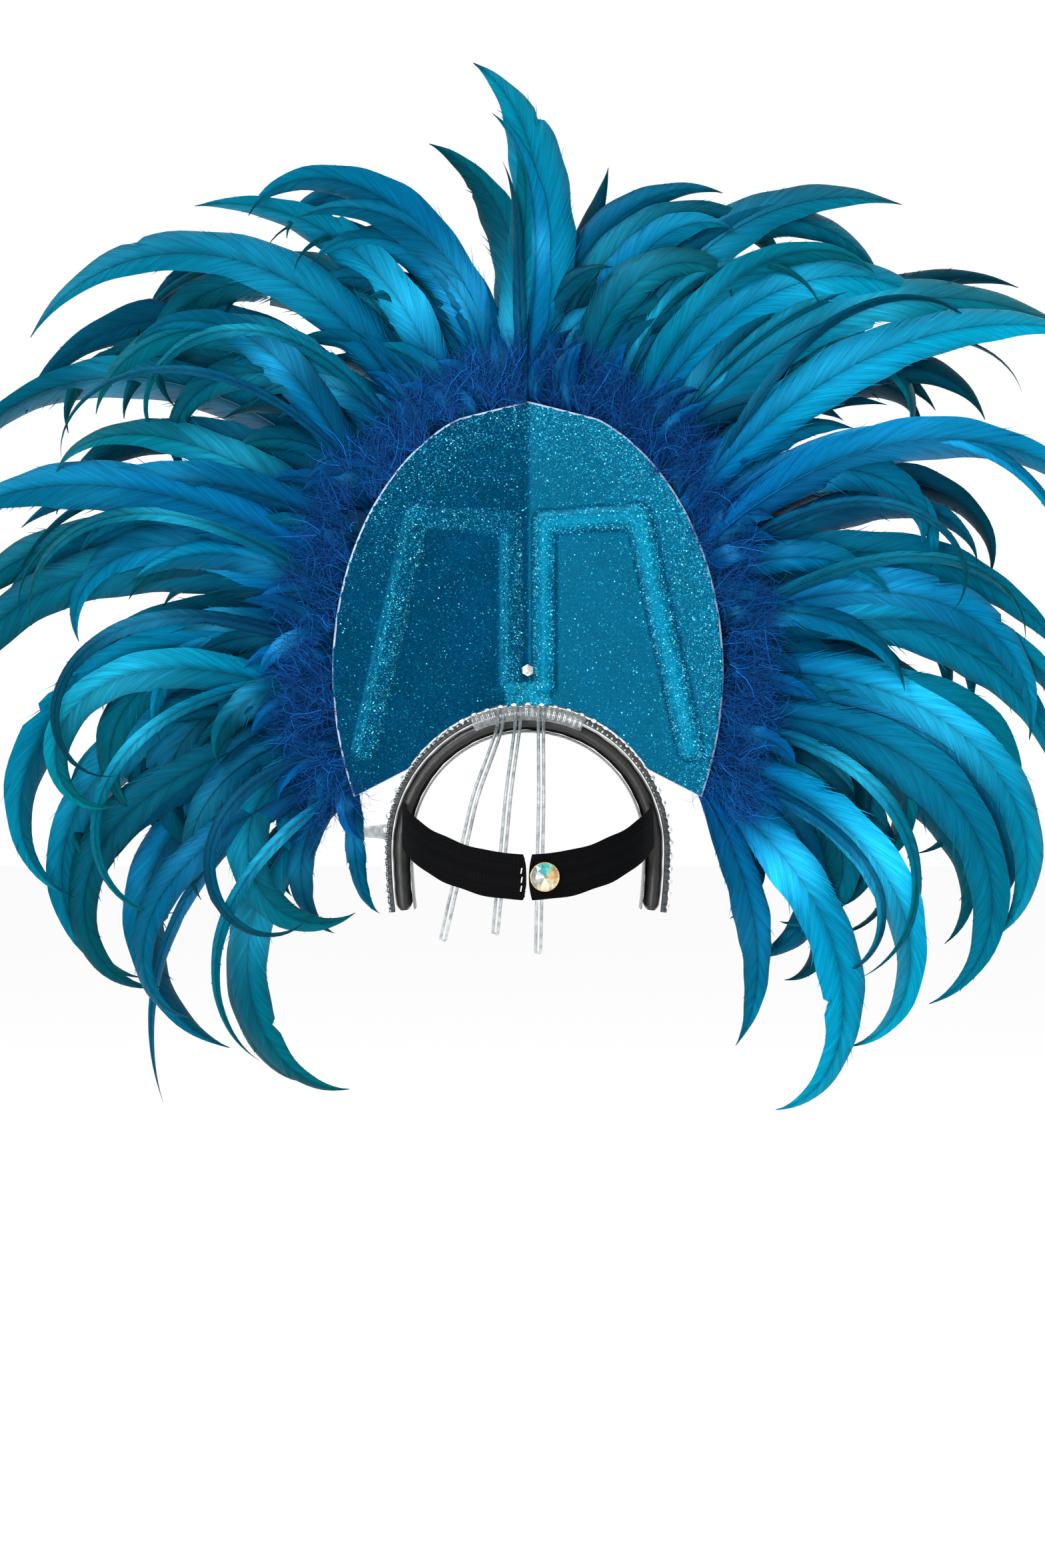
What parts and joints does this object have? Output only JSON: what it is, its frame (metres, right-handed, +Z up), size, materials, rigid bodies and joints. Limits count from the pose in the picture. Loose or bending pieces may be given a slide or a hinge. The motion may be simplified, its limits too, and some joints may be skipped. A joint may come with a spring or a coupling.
{
  "type": "showgirl feather headdress",
  "caption": "Showgirl headdress: curling turquoise rooster tail feathers round a folded glitter back panel, on a padded black headband with an elastic back strap.",
  "frame": {"origin": "head_seat, the point on the crown of the head where the middle of the band's lining rests", "axes": "+Z up, +Y the way the wearer faces, +X at the wearer's right hand side as seen from behind, in the picture"},
  "size_m": [0.7745, 0.134, 0.7027],
  "materials": {
    "glitter_board": "glitter",
    "plated_steel": "satin",
    "padded_vinyl": "satin",
    "lining_cloth": "woven",
    "clear_stones": "faceted",
    "clear_plastic": "clear",
    "strap_elastic": "ribbed",
    "button_crystal": "faceted",
    "dyed_feather": "feather"
  },
  "bodies": {
    "root": {"back_panel": "glitter_board", "panel_nut": "plated_steel", "headband": "padded_vinyl", "band_lining": "lining_cloth", "crystal_trim": "clear_stones", "prong_bracket": "clear_plastic", "prong_left": "clear_plastic", "prong_center": "clear_plastic", "prong_right": "clear_plastic", "strap_left": "strap_elastic", "strap_right": "strap_elastic", "strap_button": "button_crystal", "side_stay": "clear_plastic", "plume_left_1": "dyed_feather", "plume_left_2": "dyed_feather", "plume_left_3": "dyed_feather", "plume_left_4": "dyed_feather", "plume_left_5": "dyed_feather", "plume_left_6": "dyed_feather", "plume_right_1": "dyed_feather", "plume_right_2": "dyed_feather", "plume_right_3": "dyed_feather", "plume_right_4": "dyed_feather", "plume_right_5": "dyed_feather", "plume_right_6": "dyed_feather"}
  },
  "joints": []
}
